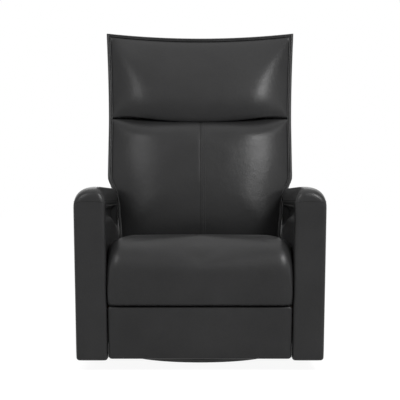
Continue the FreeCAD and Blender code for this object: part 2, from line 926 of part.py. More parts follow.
def wing_steps(inset):
    """Right side of the back from the waist up to the wing."""
    waist = back_waist_half - inset
    wing = back_mid_half - inset
    rise = back_wing_h - back_waist_h
    return [((waist, back_waist_h),),
            ((waist + 8.0, back_waist_h + rise * 0.34), (waist + 23.0, back_waist_h + rise * 0.54)),
            ((wing - 7.0, back_waist_h + rise * 0.78), (wing, back_wing_h))]


def back_outline(t, inset, low=None, top_inset=None):
    """Whole back seen from the front, drawn in by an inset."""
    base = back_low if low is None else low
    drop = inset if top_inset is None else top_inset
    corner_h = top_edge_h(drop)
    start = (back_waist_half - inset, base)
    steps = wing_steps(inset) + [((back_mid_half - inset, back_flare_h),),
                                 ((back_top_half - inset, corner_h),)]
    left = mirrored_steps(start, steps)
    crest = [((0, corner_h - back_dip), (inset - back_top_half, corner_h))]
    return outline(in_front(t), start, *(steps + crest + left))


def back_shell():
    """Covered outer back: a tray round the frame, with a hem below it."""
    edge = shell_edge
    body = Part.makeLoft([back_outline(0, 0), back_outline(back_depth - edge, 0),
                          back_outline(back_depth, edge)], True, True)
    hollow = prism(back_outline(-1, trim_wall, back_low - 1), V(0, back_depth - ply + 1, 0))
    hem_half = back_waist_half - edge
    hem = block(-hem_half, hem_half, back_depth - ply, back_depth,
                back_low - shell_tail, back_low + edge)
    return lean_back(fused([body.cut(hollow), hem]))


def post_x():
    return back_plane[0]


def back_frame():
    """Hardwood boards: two posts, three rails and two wing boards."""
    t0, t1 = frame_front, frame_front + board
    x1 = post_x()
    x0 = x1 - post_width
    top = back_height - back_dip - 2 * trim_wall
    parts = []
    parts.append(block(x0, x1, t0, t1, back_low + 2, top))
    parts.append(mirrored(parts[0]))
    for h in (back_low + 2, back_crease_h - post_width, top - 2 * post_width):
        parts.append(block(-x0, x0, t0, t1, h, h + 1.5 * post_width))
    wing = block(x1, back_mid_half - 2 * trim_wall, t0, t1, back_wing_h + 2 * trim_wall, top)
    parts.append(wing)
    parts.append(mirrored(wing))
    return lean_back(Part.makeCompound(parts))


def back_webbing():
    """Elastic straps across the front of the posts."""
    half = post_x()
    t1 = frame_front
    t0 = t1 - strap_sheet
    straps = []

    def row(low, high, count):
        pitch = (high - low) / count
        for i in range(count):
            h = low + pitch * (i + 0.5)
            straps.append(block(-half, half, t0, t1, h - strap_width / 2, h + strap_width / 2))

    row(back_low + 1.5 * post_width, back_crease_h - post_width, lumbar_straps)
    row(back_crease_h + post_width, back_height - 3 * post_width, head_straps)
    return lean_back(Part.makeCompound(straps))


def back_brackets():
    """Steel plates from the back hinge up the outer faces of the posts."""
    span = back_plane
    low_t = frame_front + board * 0.5
    foot = back_point(low_t, back_low + board)
    head = back_point(low_t, back_low + 8 * board)
    half = board / 2
    parts = [strap(pivot_h, guide_start, 1.3 * link_half, span),
             strap(guide_start, foot, 1.2 * link_half, span),
             strap(foot, head, half, span)]
    parts.append(rod_x(guide_start, guide_radius, span[1], frame_plane[1]))
    return pair(drilled(fused(parts), [pivot_h], pin_radius + run_gap, span))


def pad_stations(bulge):
    """How far up its slopes a back cushion is at each depth: a soft dome."""
    return [(cushion_rear, 0.0), (0.0, 0.0), (-bulge * 0.3, 0.29), (-bulge * 0.6, 0.64),
            (-bulge * 0.85, 1.04), (-bulge, 1.4)]


def lumbar_outline(t, share):
    edge = trim_wall + slip_gap + chord_room
    waist = back_waist_half - edge - lumbar_flank * share
    wing = back_mid_half - edge - lumbar_flank * share
    tuck = lumbar_tuck if t < cushion_rear else -lumbar_tuck
    low = back_low - tuck + lumbar_under * share
    top = back_crease_h - crease_gap / 2 - lumbar_slope * share
    rise = back_wing_h - back_waist_h
    knee = (waist + 23.0, back_waist_h + rise * 0.54)
    steps = [((waist, back_waist_h),)]
    steps += chords((waist, back_waist_h), (waist + 8.0, back_waist_h + rise * 0.34), knee, 3)
    steps += chords(knee, (wing - 7.0, back_waist_h + rise * 0.78), (wing, back_wing_h), 3)
    steps.append(((wing, top),))
    left = mirrored_steps((waist, low), steps)
    return outline(in_front(t), (waist, low), *(steps + [((-wing, top),)] + left))


def lumbar_cushion():
    wires = [lumbar_outline(t, share) for t, share in pad_stations(lumbar_bulge)]
    return lean_back(Part.makeLoft(wires, True, True))


def head_outline(t, share):
    edge = trim_wall + slip_gap + chord_room
    low = back_crease_h + crease_gap / 2 + head_belly * share
    side_low = back_mid_half - edge - head_flank * share
    top = top_edge_h(edge) - head_slope * share
    side_top = back_top_half - edge - head_flank * share
    flare = (side_low, back_flare_h)
    steps = [(flare,), ((side_top, top),)]
    left = mirrored_steps((side_low, low), steps)
    crest = bow(side_top, top, back_dip * side_top / (back_top_half - edge), 4)
    overhang = head_overhang * side_low / back_mid_half if t < 0 else slip_gap
    foot = bow(-side_low, low, overhang, 4)
    return outline(in_front(t), (side_low, low), *(steps + crest + left + foot))


def headrest_cushion():
    wires = [head_outline(t, share) for t, share in pad_stations(head_bulge)]
    return lean_back(Part.makeLoft(wires, True, True))


# Footrest

def front_links():
    link = strap(pivot_a, pivot_d, link_half, front_plane)
    link = drilled(link, [pivot_a], pin_radius + run_gap, front_plane)
    studs = [stud(pivot_c, front_plane, outer_plane, -1),
             stud(pivot_d, front_plane, inner_plane, 1)]
    return pair(fused([link] + studs))


def cross_tube():
    return rod_x(tube_at, cross_tube_radius, -front_plane[0], front_plane[0])


def outer_links():
    link = fused([strap(pivot_e, pivot_c, link_half, outer_plane),
                  strap(pivot_c, pivot_f, link_half, outer_plane)])
    return pair(drilled(link, [pivot_c, pivot_e, pivot_f], pin_radius + run_gap, outer_plane))


def inner_links():
    link = strap(pivot_d, pivot_g, link_half, inner_plane)
    return pair(drilled(link, [pivot_d, pivot_g], pin_radius + run_gap, inner_plane))


def rear_links():
    link = strap(pivot_b, pivot_e, link_half, rear_plane)
    link = drilled(link, [pivot_b], pin_radius + run_gap, rear_plane)
    return pair(fused([link, stud(pivot_e, rear_plane, outer_plane, 1)]))


def footrest_brackets():
    span = front_plane
    low, high = pivot_g[1] - link_half, pivot_f[1] + link_half
    web = strap(pivot_f, pivot_g, link_half, span)
    spine = block(span[0], span[1], board_back, pivot_f[0], low, high)
    flange = block(span[0] - 22.0, span[1], board_back, board_back + plate, low, high)
    studs = [stud(pivot_f, span, outer_plane, -1), stud(pivot_g, span, inner_plane, 1)]
    return pair(fused([web, spine, flange] + studs))


def footrest_board():
    edge = footrest_corner
    half = footrest_half - edge
    return block(-half, half, footrest_back, board_back, footrest_low + edge, footrest_top - edge / 2)


def footrest_outline(y, inset):
    """Footrest pad seen from the front, with softly rounded corners."""
    half = footrest_half - inset
    low, high = footrest_low + inset * 0.8, footrest_top - inset * 0.8
    r = footrest_corner
    nip = r * (1 - math.sqrt(0.5))
    corners = [(half - r, low), (half - nip, low + nip), (half, low + r), (half, high - r),
               (half - nip, high - nip), (half - r, high), (r - half, high),
               (nip - half, high - nip), (-half, high - r), (-half, low + r),
               (nip - half, low + nip)]
    return outline(in_front(y), (r - half, low), *[(p,) for p in corners])


def footrest_cushion():
    depth = footrest_pad
    stations = [(footrest_back, 3.0), (footrest_back - depth * 0.2, 0.0),
                (footrest_back - depth * 0.62, 0.0), (footrest_back - depth * 0.86, 5.0),
                (footrest_back - depth * 0.96, 14.0), (footrest_back - depth, 34.0)]
    return Part.makeLoft([footrest_outline(*s) for s in stations], True, True)


def build():
    nodes = {}
    nodes["base_ring"] = base_ring()
    nodes["base_cross"] = base_cross()
    nodes["bearing_lower"] = bearing_lower()
    nodes["slip_ring"] = slip_ring()
    nodes["kingpin"] = kingpin()
    nodes["bearing_upper"] = bearing_upper()
    nodes["platform_channel"] = platform_channel()
    nodes["rocker_rails"] = rocker_rails()
    nodes["spring_cups"] = spring_cups()
    nodes["rocker_springs"] = rocker_springs()
    nodes["rocker_cams"] = rocker_cams()
    nodes["spring_brackets"] = spring_brackets()
    nodes["frame_plates"] = frame_plates()
    nodes["frame_stretchers"] = frame_stretchers()
    boards = arm_boards()
    nodes["arm_frame_left"] = Part.makeCompound(boards)
    nodes["arm_frame_right"] = Part.makeCompound([mirrored(b) for b in boards])
    nodes["arm_left"] = arm_cover()
    nodes["arm_right"] = arm_right_cover()
    nodes["rear_panel"] = rear_panel()
    nodes["release_recess"] = release_recess()
    nodes["release_handle"] = release_handle()
    nodes["release_crank"] = release_crank()
    nodes["front_lift_links"] = lift_links(lift_low_front, lift_up_front)
    nodes["rear_lift_links"] = lift_links(lift_low_rear, lift_up_rear)
    nodes["seat_plates"] = seat_plates()
    nodes["seat_frame"] = seat_frame()
    nodes["seat_springs"] = seat_springs()
    nodes["seat_cushion"] = seat_cushion()
    nodes["back_brackets"] = back_brackets()
    nodes["back_frame"] = back_frame()
    nodes["back_webbing"] = back_webbing()
    nodes["back_shell"] = back_shell()
    nodes["lumbar_cushion"] = lumbar_cushion()
    nodes["headrest_cushion"] = headrest_cushion()
    nodes["footrest_front_links"] = front_links()
    nodes["footrest_cross_tube"] = cross_tube()
    nodes["footrest_outer_links"] = outer_links()
    nodes["footrest_inner_links"] = inner_links()
    nodes["footrest_rear_links"] = rear_links()
    nodes["footrest_brackets"] = footrest_brackets()
    nodes["footrest_board"] = footrest_board()
    nodes["footrest_cushion"] = footrest_cushion()
    return nodes


os.makedirs("parts", exist_ok=True)
for name, shape in build().items():
    shape.exportStep("parts/" + name + ".step")
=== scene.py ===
import json
import math
import bpy
import bmesh
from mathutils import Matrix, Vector
from mathutils.bvhtree import BVHTree


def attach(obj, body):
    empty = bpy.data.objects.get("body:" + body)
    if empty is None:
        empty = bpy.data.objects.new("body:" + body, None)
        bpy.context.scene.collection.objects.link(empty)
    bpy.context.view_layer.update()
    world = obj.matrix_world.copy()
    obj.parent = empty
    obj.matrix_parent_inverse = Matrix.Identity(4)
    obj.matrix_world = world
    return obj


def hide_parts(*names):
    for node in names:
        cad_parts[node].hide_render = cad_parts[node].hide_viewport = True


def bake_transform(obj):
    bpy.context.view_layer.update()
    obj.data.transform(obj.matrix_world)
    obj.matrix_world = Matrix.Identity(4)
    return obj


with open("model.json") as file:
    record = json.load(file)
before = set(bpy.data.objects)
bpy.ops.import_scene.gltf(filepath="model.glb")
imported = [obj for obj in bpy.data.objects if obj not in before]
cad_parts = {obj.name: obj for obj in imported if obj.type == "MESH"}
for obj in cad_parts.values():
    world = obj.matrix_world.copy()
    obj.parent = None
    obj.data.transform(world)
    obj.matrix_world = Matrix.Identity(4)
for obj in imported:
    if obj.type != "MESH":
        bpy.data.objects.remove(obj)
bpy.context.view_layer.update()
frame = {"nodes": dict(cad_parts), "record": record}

scene = bpy.context.scene
scene.view_settings.view_transform = "Standard"
nodes = frame["nodes"]


# Material helpers

def new_material(name):
    mat = bpy.data.materials.new(name)
    mat.use_nodes = True
    tree = mat.node_tree
    return mat, tree, tree.nodes["Principled BSDF"]


def link(tree, a, out, b, into):
    tree.links.new(a.outputs[out], b.inputs[into])


def coords(tree, stretch=(1, 1, 1)):
    """Place on the piece in metres, optionally stretched."""
    tex = tree.nodes.new("ShaderNodeTexCoord")
    mapping = tree.nodes.new("ShaderNodeMapping")
    mapping.inputs["Scale"].default_value = stretch
    link(tree, tex, "Object", mapping, "Vector")
    return mapping


def noise(tree, place, scale, detail=3.0, rough=0.55):
    node = tree.nodes.new("ShaderNodeTexNoise")
    node.inputs["Scale"].default_value = scale
    node.inputs["Detail"].default_value = detail
    node.inputs["Roughness"].default_value = rough
    link(tree, place, "Vector", node, "Vector")
    return node


def wave(tree, place, scale, distortion):
    node = tree.nodes.new("ShaderNodeTexWave")
    node.inputs["Scale"].default_value = scale
    node.inputs["Distortion"].default_value = distortion
    link(tree, place, "Vector", node, "Vector")
    return node


def mixed(tree, a, b, share):
    """Two grey textures in one, with this share of the second."""
    node = tree.nodes.new("ShaderNodeMix")
    node.data_type = "FLOAT"
    node.inputs["Factor"].default_value = share
    link(tree, a, "Fac", node, "A")
    link(tree, b, "Fac", node, "B")
    return node


def tint(tree, shader, source, out, stops):
    """Colours a shader by a grey texture, through stops of place and colour."""
    node = tree.nodes.new("ShaderNodeValToRGB")
    while len(node.color_ramp.elements) < len(stops):
        node.color_ramp.elements.new(0.5)
    for element, (at, colour) in zip(node.color_ramp.elements, stops):
        element.position = at
        element.color = (*colour, 1.0)
    link(tree, source, out, node, "Fac")
    link(tree, node, "Color", shader, "Base Color")


def roughen(tree, shader, source, low, high):
    """Varies a shader's roughness with a grey texture."""
    node = tree.nodes.new("ShaderNodeMapRange")
    node.inputs["To Min"].default_value = low
    node.inputs["To Max"].default_value = high
    link(tree, source, "Fac", node, "Value")
    link(tree, node, "Result", shader, "Roughness")


def bump(tree, source, out, strength, depth, before=None):
    node = tree.nodes.new("ShaderNodeBump")
    node.inputs["Strength"].default_value = strength
    node.inputs["Distance"].default_value = depth
    link(tree, source, out, node, "Height")
    if before is not None:
        link(tree, before, "Normal", node, "Normal")
    return node


def grey(value):
    return (value, value, value)


# Materials

def leather(name, dark, light, gloss):
    """Pebbled bonded leather: cell grain, fine creases, slow changes of tone."""
    mat, tree, shader = new_material(name)
    place = coords(tree)
    fine = noise(tree, place, scale=160.0, detail=4.0, rough=0.6)
    tone = mixed(tree, noise(tree, place, scale=7.0, detail=4.0), fine, share=0.35)
    tint(tree, shader, tone, "Result", [(0.36, dark), (0.66, light)])
    roughen(tree, shader, fine, gloss - 0.05, gloss + 0.07)
    cells = tree.nodes.new("ShaderNodeTexVoronoi")
    cells.feature = "SMOOTH_F1"
    cells.inputs["Scale"].default_value = 620.0
    cells.inputs["Smoothness"].default_value = 0.6
    link(tree, place, "Vector", cells, "Vector")
    creases = noise(tree, place, scale=42.0, detail=5.0, rough=0.62)
    grain = bump(tree, cells, "Distance", strength=0.22, depth=0.0006)
    folds = bump(tree, creases, "Fac", strength=0.14, depth=0.004, before=grain)
    link(tree, folds, "Normal", shader, "Normal")
    shader.inputs["Specular IOR Level"].default_value = 0.17
    return mat


def painted_steel(name, colour, gloss, worn):
    """Powder-coated steel with orange-peel and slightly rubbed high spots."""
    mat, tree, shader = new_material(name)
    place = coords(tree)
    tone = noise(tree, place, scale=30.0, detail=5.0)
    tint(tree, shader, tone, "Fac", [(0.35, colour), (0.62, colour), (0.78, worn)])
    roughen(tree, shader, tone, gloss - 0.08, gloss + 0.1)
    peel = bump(tree, noise(tree, place, scale=900.0, detail=2.0), "Fac", strength=0.12, depth=0.0004)
    link(tree, peel, "Normal", shader, "Normal")
    return mat


def bare_steel(name, dark, light, gloss, stretch):
    """Zinc plate or drawn wire: metallic, with fine lines along one way."""
    mat, tree, shader = new_material(name)
    lines = noise(tree, coords(tree, stretch), scale=60.0, detail=4.0)
    cloud = noise(tree, coords(tree), scale=18.0)
    tint(tree, shader, cloud, "Fac", [(0.3, dark), (0.7, light)])
    shader.inputs["Metallic"].default_value = 1.0
    roughen(tree, shader, lines, gloss - 0.1, gloss + 0.12)
    link(tree, bump(tree, lines, "Fac", strength=0.1, depth=0.0003), "Normal", shader, "Normal")
    return mat


def timber(name, dark, light, stretch, rings):
    """Sawn board: growth rings stretched along the grain, with pores."""
    mat, tree, shader = new_material(name)
    place = coords(tree, stretch)
    growth = wave(tree, place, rings, distortion=9.0)
    growth.wave_type = "RINGS"
    growth.inputs["Detail"].default_value = 3.0
    pores = noise(tree, place, scale=120.0, detail=5.0, rough=0.7)
    grain = mixed(tree, growth, pores, share=0.4)
    tint(tree, shader, grain, "Result", [(0.2, light), (0.8, dark)])
    roughen(tree, shader, pores, 0.5, 0.75)
    link(tree, bump(tree, grain, "Result", strength=0.25, depth=0.0006), "Normal", shader, "Normal")
    return mat


def moulded(name, colour, gloss):
    """Moulded plastic with a fine spark-eroded grain."""
    mat, tree, shader = new_material(name)
    place = coords(tree)
    low = tuple(c * 0.82 for c in colour)
    tint(tree, shader, noise(tree, place, scale=25.0), "Fac", [(0.35, low), (0.7, colour)])
    spark = noise(tree, place, scale=1600.0, detail=2.0)
    roughen(tree, shader, spark, gloss - 0.05, gloss + 0.08)
    link(tree, bump(tree, spark, "Fac", strength=0.16, depth=0.0003), "Normal", shader, "Normal")
    return mat


def woven(name, dark, light, pitch):
    """Elastic webbing or thread: ribs along it crossed by a fine weft."""
    mat, tree, shader = new_material(name)
    place = coords(tree)
    rib = wave(tree, place, 1 / pitch, distortion=0.3)
    rib.bands_direction = "Z"
    weft = wave(tree, place, 0.6 / pitch, distortion=0.3)
    weft.bands_direction = "X"
    cloth = mixed(tree, rib, weft, share=0.5)
    tint(tree, shader, cloth, "Result", [(0.3, dark), (0.75, light)])
    shader.inputs["Roughness"].default_value = 0.85
    link(tree, bump(tree, cloth, "Result", strength=0.5, depth=0.0006), "Normal", shader, "Normal")
    return mat


HIDE_DARK, HIDE_LIGHT, HIDE_GLOSS = (0.0113, 0.0113, 0.0116), (0.0157, 0.0157, 0.0160), 0.315
HIDE = leather("leather_charcoal", HIDE_DARK, HIDE_LIGHT, HIDE_GLOSS)
WELT = leather("leather_welt", HIDE_DARK, HIDE_LIGHT, HIDE_GLOSS)
SEAM = leather("leather_seam", grey(0.006), grey(0.010), 0.6)
THREAD = woven("thread_black", grey(0.012), (0.030, 0.030, 0.031), 0.0009)

finishes = {
    "hardwood": timber("beech_boards", (0.24, 0.155, 0.085), (0.34, 0.235, 0.14), (3, 0.5, 3), 17.0),
    "plywood": timber("birch_ply", (0.47, 0.32, 0.18), (0.66, 0.50, 0.32), (0.5, 6, 2), 12.0),
    "black_steel": painted_steel("steel_black", grey(0.034), 0.42, grey(0.05)),
    "zinc_steel": bare_steel("steel_zinc", grey(0.42), grey(0.60), 0.35, (1, 1, 8)),
    "mechanism_steel": painted_steel("steel_mechanism", grey(0.028), 0.45, grey(0.07)),
    "spring_steel": bare_steel("steel_spring", grey(0.15), grey(0.27), 0.38, (6, 6, 1)),
    "nylon": moulded("nylon_natural", (0.74, 0.72, 0.66), 0.45),
    "webbing": woven("webbing_elastic", grey(0.03), grey(0.11), 0.0022),
    "handle_plastic": moulded("plastic_black", grey(0.016), 0.38),
}
for part in frame["record"]["subparts"]:
    if part["material_slot"] in finishes:
        nodes[part["node"]].data.materials.clear()
        nodes[part["node"]].data.materials.append(finishes[part["material_slot"]])


# Mesh helpers

def clamp(s):
    return min(max(s, 0.0), 1.0)


def ease(s):
    """Smooth step from 0 to 1."""
    s = clamp(s)
    return s * s * (3 - 2 * s)


def rounded(a, p, q):
    """1 in the middle, falling to 0 where a reaches -1 or 1."""
    return max(0.0, 1 - abs(a) ** p) ** q


def packed(count, power):
    """Places from -1 to 1, closer together towards both ends."""
    out = []
    for i in range(count):
        s = -1 + 2 * i / (count - 1)
        out.append((1 - power) * s + power * math.sin(s * math.pi / 2))
    return out


def rows(count, power):
    """Places from 0 to 1, closer together towards both ends."""
    return [(s + 1) / 2 for s in packed(count, power)]


def arc(cy, cz, ry, rz, start, end, count):
    """Points (y, z) on an ellipse, between two angles in degrees."""
    out = []
    for i in range(count + 1):
        a = math.radians(start + (end - start) * i / count)
        out.append((cy + ry * math.cos(a), cz + rz * math.sin(a)))
    return out


def loop_faces(a, b):
    return [(a[k - 1], a[k], b[k], b[k - 1]) for k in range(len(a))]


def ring_faces(ring_count, points):
    """Faces between neighbouring rings of so many points."""
    faces = []
    for r in range(ring_count - 1):
        a = [r * points + k for k in range(points)]
        faces += loop_faces(a, [i + points for i in a])
    return faces


def cushion(us, vs, front, rings, rear):
    """Closed pad: a front sheet, rings round its edge and a rear sheet."""
    nu, nv = len(us), len(vs)
    verts = [front(u, v) for v in vs for u in us]
    cells = [(i, j) for j in range(nv - 1) for i in range(nu - 1)]
    faces = [(j * nu + i, j * nu + i + 1, (j + 1) * nu + i + 1, (j + 1) * nu + i)
             for i, j in cells]
    edge = ([(i, 0) for i in range(nu)] + [(nu - 1, j) for j in range(1, nv)]
            + [(i, nv - 1) for i in range(nu - 2, -1, -1)] + [(0, j) for j in range(nv - 2, 0, -1)])
    loop = [j * nu + i for i, j in edge]
    for ring in rings:
        start = len(verts)
        verts += [ring(us[i], vs[j]) for i, j in edge]
        after = list(range(start, len(verts)))
        faces += loop_faces(loop, after)
        loop = after
    index = dict(zip(edge, loop))
    for j in range(1, nv - 1):
        for i in range(1, nu - 1):
            index[(i, j)] = len(verts)
            verts.append(rear(us[i], vs[j]))
    faces += [(index[(i, j)], index[(i, j + 1)], index[(i + 1, j + 1)], index[(i + 1, j)])
              for i, j in cells]
    return verts, faces


def loft(rings, middle):
    """Closed body through rings; its ends close onto a middle line of each ring."""
    shares = (0.0, 0.35, 0.7, 0.9)
    first = [[p.lerp(middle(p), 1 - k) for p in rings[0]] for k in shares]
    last = [[p.lerp(middle(p), 1 - k) for p in rings[-1]] for k in reversed(shares)]
    whole = first + rings + last
    return [p for ring in whole for p in ring], ring_faces(len(whole), len(rings[0]))


def barrel(rings):
    """Closed body through rings, with a flat face at each end."""
    def shrunk(ring, share):
        middle = sum(ring, Vector()) / len(ring)
        return [middle + (p - middle) * share for p in ring]

    first = [shrunk(rings[0], share) for share in (0.80, 0.93)]
    last = [shrunk(rings[-1], share) for share in (0.93, 0.80)]
    whole = first + rings + last
    verts = [p for ring in whole for p in ring]
    count = len(rings[0])
    faces = [tuple(range(count)), tuple(range(len(verts) - count, len(verts)))]
    return verts, faces + ring_faces(len(whole), count)


def make(name, verts, faces):
    """Leather piece from points and faces, not yet on a body."""
    mesh = bpy.data.meshes.new(name)
    mesh.from_pydata([tuple(v) for v in verts], [], faces)
    work = bmesh.new()
    work.from_mesh(mesh)
    bmesh.ops.remove_doubles(work, verts=work.verts, dist=1e-5)
    bmesh.ops.dissolve_degenerate(work, edges=work.edges, dist=1e-6)
    bmesh.ops.recalc_face_normals(work, faces=work.faces)
    work.to_mesh(mesh)
    work.free()
    mesh.shade_smooth()
    obj = bpy.data.objects.new(name, mesh)
    scene.collection.objects.link(obj)
    mesh.materials.append(HIDE)
    return obj


def puff(obj, held, pressure, cap, grow=0.0):
    """Blows a pad up with cloth simulation; held(point) says which points stay in place."""
    last_frame = 20
    start = [v.co.copy() for v in obj.data.vertices]
    group = obj.vertex_groups.new(name="held")
    group.add([v.index for v in obj.data.vertices if held(v.co)], 1.0, "REPLACE")
    mod = obj.modifiers.new("cloth", "CLOTH")
    cloth = mod.settings
    cloth.quality = 5
    cloth.mass = 0.3
    cloth.tension_stiffness = cloth.compression_stiffness = 14
    cloth.shear_stiffness = 6
    cloth.bending_stiffness = 4.0
    cloth.use_pressure = True
    cloth.uniform_pressure_force = pressure
    cloth.shrink_min = -grow
    cloth.vertex_group_mass = "held"
    cloth.effector_weights.gravity = 0
    mod.collision_settings.use_collision = False
    mod.point_cache.frame_start, mod.point_cache.frame_end = 1, last_frame
    for f in range(1, last_frame + 1):
        scene.frame_set(f)
    shown = obj.evaluated_get(bpy.context.evaluated_depsgraph_get())
    moved = [v.co.copy() for v in shown.data.vertices]
    obj.modifiers.remove(mod)
    for v, a, b in zip(obj.data.vertices, start, moved):
        step = b - a
        if step.length > cap:
            step *= cap / step.length
        v.co = a + step
    obj.vertex_groups.clear()
    scene.frame_set(1)


def cover(obj, body, node):
    """Sets a pad on its body, in place of its plain solid."""
    mod = obj.modifiers.new("smooth", "SUBSURF")
    mod.levels = mod.render_levels = 1
    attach(obj, body)
    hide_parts(node)


def tube(name, lines, radius, mat, sides=3):
    """Round cord along one or more lines of points, as a mesh."""
    curve = bpy.data.curves.new(name, "CURVE")
    curve.dimensions = "3D"
    curve.bevel_depth = radius
    curve.bevel_resolution = sides
    curve.use_fill_caps = True
    for line in lines:
        spline = curve.splines.new("POLY")
        spline.points.add(len(line) - 1)
        for point, p in zip(spline.points, line):
            point.co = (*p, 1)
    holder = bpy.data.objects.new(name + "_path", curve)
    mesh = bpy.data.meshes.new_from_object(holder)
    bpy.data.objects.remove(holder)
    mesh.name = name
    mesh.materials.clear()
    mesh.materials.append(mat)
    mesh.shade_smooth()
    obj = bpy.data.objects.new(name, mesh)
    scene.collection.objects.link(obj)
    return obj


def trim(name, lines, radius, mat, body, sides=3):
    """Welt, seam or stitches on the covers of a body."""
    obj = tube(name, lines, radius, mat, sides)
    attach(obj, body)


def surface(obj):
    """Search tree of a piece as it shows."""
    bpy.context.view_layer.update()
    shown = obj.evaluated_get(bpy.context.evaluated_depsgraph_get())
    mesh = shown.to_mesh()
    tree = BVHTree.FromPolygons([v.co.copy() for v in mesh.vertices],
                                [tuple(p.vertices) for p in mesh.polygons])
    shown.to_mesh_clear()
    return tree


def laid(tree, line, way, lift):
    """Points of a line dropped onto a surface along a direction."""
    before = 0.3
    out = []
    for p in line:
        hit = tree.ray_cast(Vector(p) - way * before, way)
        if hit[0] is not None:
            out.append(hit[0] + hit[1] * lift)
    return out


def stitch_runs(line, length, gap):
    """Short runs along a line of points, one for each stitch."""
    runs, run, left, sewing = [], [Vector(line[0])], length, True
    for a, b in zip(line, line[1:]):
        a, b = Vector(a), Vector(b)
        while (b - a).length > left:
            a = a + (b - a).normalized() * left
            if sewing:
                run.append(a)
                runs.append(run)
            sewing = not sewing
            run, left = [a], length if sewing else gap
        left -= (b - a).length
        run.append(b)
    return runs


# Back: t runs rearwards from the rim, h up from seat level

LEAN = math.radians(14.0)
BACK_Y, BACK_Z = 0.13304, 0.405
BACK_TOP, BACK_DIP = 0.76266, 0.020
WAIST_LOW, WAIST, WING, EARS = 0.286, 0.2935, 0.332, 0.347
WAIST_SPAN, WING_LOW, WING_HIGH, FLARE_LOW = 0.09, 0.108, 0.213, 0.40
RIM, RIM_CUT, RIM_CUT_TOP = 0.0105, 0.42, 0.20
FORWARD = Vector((0, math.cos(LEAN), -math.sin(LEAN)))


def back_at(x, t, h):
    return Vector((x, BACK_Y + h * math.sin(LEAN) + t * math.cos(LEAN),
                   BACK_Z + h * math.cos(LEAN) - t * math.sin(LEAN)))


def back_depth_of(p):
    """t of a point of the back."""
    return (p.y - BACK_Y) * math.cos(LEAN) - (p.z - BACK_Z) * math.sin(LEAN)


def back_half(h):
    """Half the width of the back: a waist between the arms, wings above them, ears at the top."""
    if h < WING_HIGH:
        waist = WAIST_LOW + (WAIST - WAIST_LOW) * ease(h / WAIST_SPAN)
        s = max(0.0, (h - WING_LOW) / (WING_HIGH - WING_LOW))
        return waist + (WING - waist) * ease(s ** 1.12)
    flare = max(0.0, (h - FLARE_LOW) / (BACK_TOP - FLARE_LOW))
    return WING + (EARS - WING) * flare ** 1.5


def top_edge(x):
    return BACK_TOP - BACK_DIP * (1 - (x / EARS) ** 2)


def slim(h):
    """Share of the rim's width that is left at the waist."""
    return 1 - RIM_CUT * ease((RIM_CUT_TOP - h) / WAIST_SPAN)


def back_spot(u, v, inset, low, top=None):
    """Place (x, h) on the back for -1 < u < 1 and 0 < v < 1."""
    high = top_edge(u * EARS) - inset if top is None else top
    h = low + v * (high - low)
    return u * (back_half(h) - inset * slim(h)), h


# Headrest and lumbar cushions

CREASE, CREASE_HALF = 0.431, 0.0008
HEAD_LOW, LUMBAR_HIGH, LUMBAR_LOW = CREASE + CREASE_HALF, CREASE - CREASE_HALF, -0.068
PAD_EDGE = -0.001
PAD_RINGS, PAD_REAR = ((0.012, 0.0), (0.055, 0.003)), (0.058, 0.003)
HEAD_DEPTH, HEAD_SIDE, HEAD_ROLL, HEAD_UNDER = 0.051, 0.085, 0.150, 0.115
BELLY, BELLY_HALF = 0.037, 0.29
LUMBAR_DEPTH, LUMBAR_SIDE, LUMBAR_UNDER, LUMBAR_FOOT = 0.049, 0.105, 0.115, -0.046
LUMBAR_ROLL, LUMBAR_ROLL_SIDE = 0.040, 0.060
LUMBAR_HALF, LUMBAR_WIDEN, WIDEN_LOW, WIDEN_SPAN = 0.2825, 0.039, -0.02, 0.30
FLAP_TOP, FLAP_SPAN, FLAP_CUT, FLAP_SLOPE = -0.040, 0.016, 0.14, 1.2
TUCK_REAR, TUCK_TOP = 0.16, 0.362
SEAM_X, VALLEY, VALLEY_HALF = 0.002, 0.0009, 0.005
BESIDE_SEAM, SEAM_SHARE, COLUMN_HALF = (-0.013, -0.006, -0.0025, 0, 0.0025, 0.006, 0.013), 0.06, 0.31

us = packed(57, 0.75)
ups = rows(45, 0.6)
near_seam = [(SEAM_X + d) / COLUMN_HALF for d in BESIDE_SEAM]
seam_us = sorted([u for u in us if abs(u) > SEAM_SHARE] + near_seam)


def swell(*shares):
    """Height of a soft dome whose slopes, each 0 at its edge, meet in round ridges."""
    blend, full = 7, 1.6
    least = -math.log(sum(math.exp(-blend * share) for share in shares)) / blend
    return 1 - (1 - min(max(least, 0.0), full) / full) ** 1.8


def head_front(u, v):
    x, h = back_spot(u, v, RIM, HEAD_LOW)
    low = max(0.0, (h - HEAD_LOW) / HEAD_UNDER)
    dome = swell((back_half(h) - RIM - abs(x)) / HEAD_SIDE, (top_edge(x) - RIM - h) / HEAD_ROLL)
    dome *= math.sqrt(1 - (1 - min(low, 1.0)) ** 2.4)
    middle = max(0.0, 1 - (x / BELLY_HALF) ** 2) ** 0.9
    belly = middle * min(1.0, low / 0.09) * math.exp(-(low / 0.9) ** 2)
    return back_at(x, PAD_EDGE - HEAD_DEPTH * dome, h - BELLY * belly)


def head_ring(t, inset):
    def ring(u, v):
        x, h = back_spot(u, v, RIM + inset, HEAD_LOW)
        return back_at(x, t, h)
    return ring


def flap(h):
    """Share of the width that the lumbar cushion keeps where it tucks behind the seat."""
    return 1 - FLAP_CUT * ease((FLAP_TOP - h) / FLAP_SPAN)


